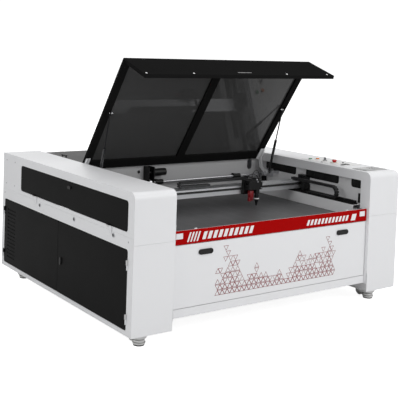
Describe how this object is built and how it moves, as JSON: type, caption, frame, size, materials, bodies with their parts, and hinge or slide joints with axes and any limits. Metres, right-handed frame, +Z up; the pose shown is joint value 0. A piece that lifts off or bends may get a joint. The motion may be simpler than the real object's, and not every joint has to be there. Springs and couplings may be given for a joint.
{
  "type": "laser engraving machine",
  "caption": "Large-format gantry laser engraver with side cabinets, a hinged tinted lid, a recessed front door, a lifting bed and levelling casters.",
  "frame": {"origin": "middle of the footprint on the floor, exhaust spigots included", "axes": "+X to the right along the front, +Y from the front to the back, +Z up; the front with the coloured band faces -Y"},
  "size_m": [2.3141, 2.04, 1.7611],
  "materials": {
    "frame_steel": "satin",
    "body_paint": "satin",
    "inner_paint": "satin",
    "band_red": "gloss",
    "bracket_steel": "brushed",
    "drive_black": "satin",
    "tube_glass": "polished",
    "unit_metal": "satin",
    "panel_grey": "satin",
    "lid_black": "satin",
    "tinted_glass": "polished",
    "gas_black": "gloss",
    "strut_chrome": "polished",
    "deck_grey": "satin",
    "door_black": "satin",
    "latch_black": "matte",
    "door_white": "satin",
    "beam_aluminium": "anodised",
    "motion_black": "satin",
    "shaft_steel": "ground",
    "lens_red": "anodised",
    "chain_plastic": "matte",
    "table_metal": "satin",
    "bed_metal": "matte",
    "button_green": "gloss",
    "button_amber": "gloss",
    "key_metal": "satin",
    "estop_red": "gloss",
    "caster_steel": "zinc plated",
    "wheel_nylon": "matte",
    "foot_rubber": "matte"
  },
  "bodies": {
    "machine": {"base_frame": "frame_steel", "left_cabinet": "body_paint", "left_hood": "body_paint", "right_cabinet": "body_paint", "right_hood": "body_paint", "inner_walls": "inner_paint", "front_rail": "body_paint", "red_band": "band_red", "rear_wall": "inner_paint", "rear_chassis": "inner_paint", "rear_panel": "body_paint", "lid_pivots": "bracket_steel", "y_axis": "drive_black", "laser_tube": "tube_glass", "electronics": "unit_metal", "control_plate": "panel_grey"},
    "lid": {"lid_frame": "lid_black", "lid_flap": "lid_black", "lid_glass": "tinted_glass", "lid_arms": "body_paint"},
    "strut_l": {"strut_tube_l": "gas_black"},
    "rod_l": {"strut_rod_l": "strut_chrome"},
    "strut_r": {"strut_tube_r": "gas_black"},
    "rod_r": {"strut_rod_r": "strut_chrome"},
    "deck": {"rear_deck": "deck_grey"},
    "flap": {"left_flap": "door_black"},
    "flap_latch": {"left_flap_latch": "latch_black"},
    "door_front": {"left_door_front": "door_black"},
    "door_latch": {"left_door_latch": "latch_black"},
    "door_rear": {"left_door_rear": "door_black"},
    "front_door": {"front_door": "door_white"},
    "latch_l": {"front_latch_l": "latch_black"},
    "latch_r": {"front_latch_r": "latch_black"},
    "gantry": {"gantry_beam": "beam_aluminium", "gantry_ends": "motion_black"},
    "head": {"carriage": "motion_black"},
    "lens": {"lens_tube": "lens_red"},
    "shaft": {"drive_shaft": "shaft_steel"},
    "chain_x": {"x_chain": "chain_plastic"},
    "chain_y": {"y_chain": "chain_plastic"},
    "table": {"table": "table_metal", "honeycomb": "bed_metal"},
    "screw_l": {"screw_l": "shaft_steel"},
    "screw_r": {"screw_r": "shaft_steel"},
    "green": {"button_green": "button_green"},
    "amber": {"button_amber": "button_amber"},
    "key": {"key_switch": "key_metal"},
    "stop": {"estop": "estop_red"},
    "caster_fl": {"caster_fl": "caster_steel"},
    "wheel_fl": {"wheel_fl": "wheel_nylon"},
    "foot_fl": {"foot_fl": "foot_rubber"},
    "caster_fr": {"caster_fr": "caster_steel"},
    "wheel_fr": {"wheel_fr": "wheel_nylon"},
    "foot_fr": {"foot_fr": "foot_rubber"},
    "caster_rl": {"caster_rl": "caster_steel"},
    "wheel_rl": {"wheel_rl": "wheel_nylon"},
    "foot_rl": {"foot_rl": "foot_rubber"},
    "caster_rr": {"caster_rr": "caster_steel"},
    "wheel_rr": {"wheel_rr": "wheel_nylon"},
    "foot_rr": {"foot_rr": "foot_rubber"}
  },
  "joints": [
    {"name": "lid_hinge", "type": "hinge", "parent": "machine", "child": "lid", "pos_m": [0, 0.151, 0.815], "axis": [1, 0, 0], "range_deg": [0, 55]},
    {"name": "strut_l_swing", "type": "hinge", "parent": "machine", "child": "strut_l", "pos_m": [-0.8, 0.065, 0.83], "axis": [1, 0, 0], "range_deg": [-1, 63.23]},
    {"name": "rod_l_slide", "type": "slide", "parent": "strut_l", "child": "rod_l", "axis": [0, -0.2547, 0.967], "range_m": [-0.04645, 0.001]},
    {"name": "strut_r_swing", "type": "hinge", "parent": "machine", "child": "strut_r", "pos_m": [0.8, 0.065, 0.83], "axis": [1, 0, 0], "range_deg": [-1, 63.23]},
    {"name": "rod_r_slide", "type": "slide", "parent": "strut_r", "child": "rod_r", "axis": [0, -0.2547, 0.967], "range_m": [-0.04645, 0.001]},
    {"name": "deck_hinge", "type": "hinge", "parent": "machine", "child": "deck", "pos_m": [0, 0.954, 0.956], "axis": [-1, 0, 0], "range_deg": [0, 80]},
    {"name": "flap_hinge", "type": "hinge", "parent": "machine", "child": "flap", "pos_m": [-1.156, -0.163, 0.724], "axis": [0, -1, 0], "range_deg": [0, 90]},
    {"name": "flap_latch_turn", "type": "hinge", "parent": "flap", "child": "flap_latch", "pos_m": [-1.154, -0.175, 0.877], "axis": [1, 0, 0], "range_deg": [0, 90]},
    {"name": "door_front_hinge", "type": "hinge", "parent": "machine", "child": "door_front", "pos_m": [-1.156, -0.961, 0.375], "axis": [0, 0, 1], "range_deg": [0, 110]},
    {"name": "door_latch_turn", "type": "hinge", "parent": "door_front", "child": "door_latch", "pos_m": [-1.154, -0.07, 0.353], "axis": [1, 0, 0], "range_deg": [0, 90]},
    {"name": "door_rear_hinge", "type": "hinge", "parent": "machine", "child": "door_rear", "pos_m": [-1.156, 0.92, 0.375], "axis": [0, 0, -1], "range_deg": [0, 110]},
    {"name": "front_door_hinge", "type": "hinge", "parent": "machine", "child": "front_door", "pos_m": [0, -0.986, 0.224], "axis": [1, 0, 0], "range_deg": [0, 90]},
    {"name": "latch_l_turn", "type": "hinge", "parent": "front_door", "child": "latch_l", "pos_m": [-0.597, -0.992, 0.56], "axis": [0, -1, 0], "range_deg": [0, 90]},
    {"name": "latch_r_turn", "type": "hinge", "parent": "front_door", "child": "latch_r", "pos_m": [0.609, -0.992, 0.56], "axis": [0, -1, 0], "range_deg": [0, 90]},
    {"name": "gantry_y", "type": "slide", "parent": "machine", "child": "gantry", "axis": [0, 1, 0], "range_m": [-0.365, 0.215]},
    {"name": "head_x", "type": "slide", "parent": "gantry", "child": "head", "axis": [1, 0, 0], "range_m": [-0.985, 0.385]},
    {"name": "lens_z", "type": "slide", "parent": "head", "child": "lens", "axis": [0, 0, 1], "range_m": [-0.008, 0.01]},
    {"name": "shaft_turn", "type": "hinge", "parent": "machine", "child": "shaft", "pos_m": [0, 0.228, 0.79], "axis": [1, 0, 0], "range_deg": [-655, 1110]},
    {"name": "chain_x_roll", "type": "slide", "parent": "gantry", "child": "chain_x", "axis": [1, 0, 0], "range_m": [-0.4975, 0.1975]},
    {"name": "chain_y_roll", "type": "slide", "parent": "machine", "child": "chain_y", "axis": [0, 1, 0], "range_m": [-0.1875, 0.1125]},
    {"name": "table_lift", "type": "slide", "parent": "machine", "child": "table", "axis": [0, 0, 1], "range_m": [-0.2, 0]},
    {"name": "screw_l_turn", "type": "hinge", "parent": "machine", "child": "screw_l", "pos_m": [-0.748, -0.36, 0.4], "axis": [0, 0, 1], "range_deg": [-10, 14450]},
    {"name": "screw_r_turn", "type": "hinge", "parent": "machine", "child": "screw_r", "pos_m": [0.748, -0.36, 0.4], "axis": [0, 0, 1], "range_deg": [-10, 14450]},
    {"name": "green_press", "type": "slide", "parent": "machine", "child": "green", "axis": [0, 0, 1], "range_m": [-0.0035, 0], "stiffness_N_per_m": 600, "springref_m": 0.001},
    {"name": "amber_press", "type": "slide", "parent": "machine", "child": "amber", "axis": [0, 0, 1], "range_m": [-0.0035, 0], "stiffness_N_per_m": 600, "springref_m": 0.001},
    {"name": "key_turn", "type": "hinge", "parent": "machine", "child": "key", "pos_m": [0.983, -0.401, 0.985], "axis": [0, 0, 1], "range_deg": [-90, 0]},
    {"name": "stop_press", "type": "slide", "parent": "machine", "child": "stop", "axis": [0, 0, 1], "range_m": [-0.006, 0]},
    {"name": "swivel_fl", "type": "hinge", "parent": "machine", "child": "caster_fl", "pos_m": [-1.012, -0.89, 0.09], "axis": [0, 0, 1], "continuous": true},
    {"name": "roll_fl", "type": "hinge", "parent": "caster_fl", "child": "wheel_fl", "pos_m": [-1.012, -0.812, 0.042], "axis": [1, 0, 0], "continuous": true},
    {"name": "level_fl", "type": "slide", "parent": "machine", "child": "foot_fl", "axis": [0, 0, 1], "range_m": [0, 0.008]},
    {"name": "swivel_fr", "type": "hinge", "parent": "machine", "child": "caster_fr", "pos_m": [1.012, -0.89, 0.09], "axis": [0, 0, 1], "continuous": true},
    {"name": "roll_fr", "type": "hinge", "parent": "caster_fr", "child": "wheel_fr", "pos_m": [1.012, -0.812, 0.042], "axis": [1, 0, 0], "continuous": true},
    {"name": "level_fr", "type": "slide", "parent": "machine", "child": "foot_fr", "axis": [0, 0, 1], "range_m": [0, 0.008]},
    {"name": "swivel_rl", "type": "hinge", "parent": "machine", "child": "caster_rl", "pos_m": [-1.012, 0.83, 0.09], "axis": [0, 0, 1], "continuous": true},
    {"name": "roll_rl", "type": "hinge", "parent": "caster_rl", "child": "wheel_rl", "pos_m": [-1.012, 0.908, 0.042], "axis": [1, 0, 0], "continuous": true},
    {"name": "level_rl", "type": "slide", "parent": "machine", "child": "foot_rl", "axis": [0, 0, 1], "range_m": [0, 0.008]},
    {"name": "swivel_rr", "type": "hinge", "parent": "machine", "child": "caster_rr", "pos_m": [1.012, 0.83, 0.09], "axis": [0, 0, 1], "continuous": true},
    {"name": "roll_rr", "type": "hinge", "parent": "caster_rr", "child": "wheel_rr", "pos_m": [1.012, 0.908, 0.042], "axis": [1, 0, 0], "continuous": true},
    {"name": "level_rr", "type": "slide", "parent": "machine", "child": "foot_rr", "axis": [0, 0, 1], "range_m": [0, 0.008]}
  ],
  "couplings": [
    {"joint": "strut_l_swing", "follows": "lid_hinge", "ratio": 1.1314},
    {"joint": "rod_l_slide", "follows": "lid_hinge", "m_per_rad": -0.047349},
    {"joint": "strut_r_swing", "follows": "lid_hinge", "ratio": 1.1314},
    {"joint": "rod_r_slide", "follows": "lid_hinge", "m_per_rad": -0.047349},
    {"joint": "shaft_turn", "follows": "gantry_y", "rad_per_m": -52.632},
    {"joint": "chain_y_roll", "follows": "gantry_y", "ratio": 0.5},
    {"joint": "chain_x_roll", "follows": "head_x", "ratio": 0.5},
    {"joint": "screw_l_turn", "follows": "table_lift", "rad_per_m": -1256.6},
    {"joint": "screw_r_turn", "follows": "table_lift", "rad_per_m": -1256.6}
  ]
}
